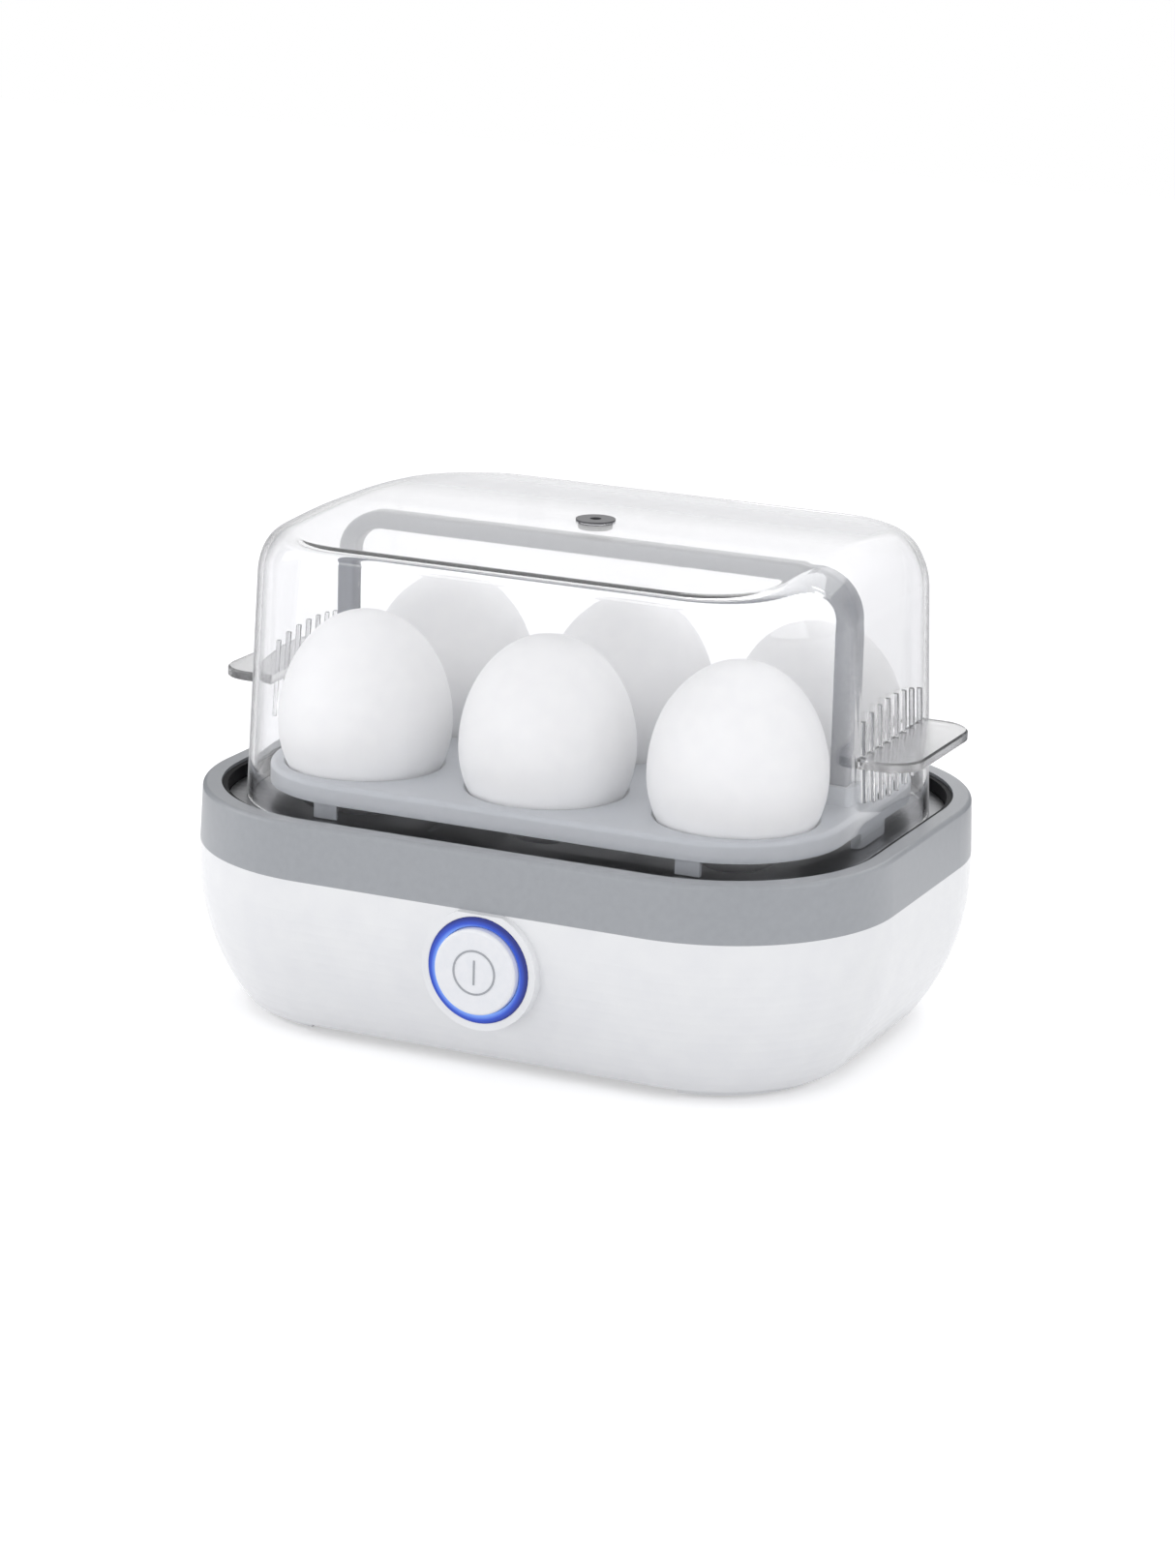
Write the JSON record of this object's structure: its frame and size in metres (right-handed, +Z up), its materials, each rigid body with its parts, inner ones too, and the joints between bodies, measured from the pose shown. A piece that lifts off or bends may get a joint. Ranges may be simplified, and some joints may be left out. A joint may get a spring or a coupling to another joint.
{
  "type": "egg cooker",
  "caption": "Compact electric egg cooker with a rounded white base, grey trim ring, steel bowl, lift-out egg rack with an arched handle, and a clear lid with side grips.",
  "frame": {"origin": "centre of the whole box in plan, on the plane the rubber feet stand on", "axes": "+Z up, +X to the right along the length, -Y towards the front, where the button is"},
  "size_m": [0.198, 0.1544, 0.1321],
  "materials": {
    "housing_white": "gloss",
    "button_white": "satin",
    "ring_grey": "satin",
    "liner_black": "matte",
    "bowl_steel": "brushed",
    "plain_steel": "satin",
    "spreader_aluminium": "cast",
    "element_sheath": "heat darkened",
    "insulator_ceramic": "matte",
    "fuse_brass": "satin",
    "part_black": "matte",
    "board_green": "satin",
    "block_cream": "matte",
    "light_blue": "glowing",
    "symbol_grey": "printed",
    "foot_rubber": "matte",
    "rack_grey": "satin",
    "handle_grey": "satin",
    "lid_clear": "clear",
    "vent_dark": "matte",
    "eggshell": "matte"
  },
  "bodies": {
    "base": {"base_housing": "housing_white", "bottom_cover": "housing_white", "cover_screws": "plain_steel", "rubber_feet": "foot_rubber", "trim_ring": "ring_grey", "inner_liner": "liner_black", "liner_screws": "plain_steel", "heating_bowl": "bowl_steel", "bowl_clips": "plain_steel", "heat_spreader": "spreader_aluminium", "heating_element": "element_sheath", "element_insulators": "insulator_ceramic", "thermostat": "part_black", "thermostat_clip": "plain_steel", "thermal_fuse": "fuse_brass", "fuse_bracket": "plain_steel", "control_board": "board_green", "buzzer": "part_black", "status_leds": "light_blue", "switch_body": "part_black", "board_bracket": "plain_steel", "bracket_screws": "plain_steel", "terminal_block": "block_cream", "cord_gland": "part_black", "button_guide": "housing_white", "light_ring": "light_blue"},
    "rack": {"egg_rack": "rack_grey", "rack_handle": "handle_grey", "eggs": "eggshell"},
    "lid": {"lid": "lid_clear", "vent_insert": "vent_dark"},
    "button": {"button_cap": "button_white", "button_symbol": "symbol_grey", "button_spring": "plain_steel"}
  },
  "joints": [
    {"name": "rack_lift", "type": "slide", "parent": "base", "child": "rack", "axis": [0, 0, 1], "range_m": [0, 0.12]},
    {"name": "lid_lift", "type": "slide", "parent": "rack", "child": "lid", "axis": [0, 0, 1], "range_m": [0, 0.12]},
    {"name": "button_press", "type": "slide", "parent": "base", "child": "button", "axis": [0, 1, 0], "range_m": [0, 0.002], "stiffness_N_per_m": 400, "deforming": ["button_spring"]}
  ]
}
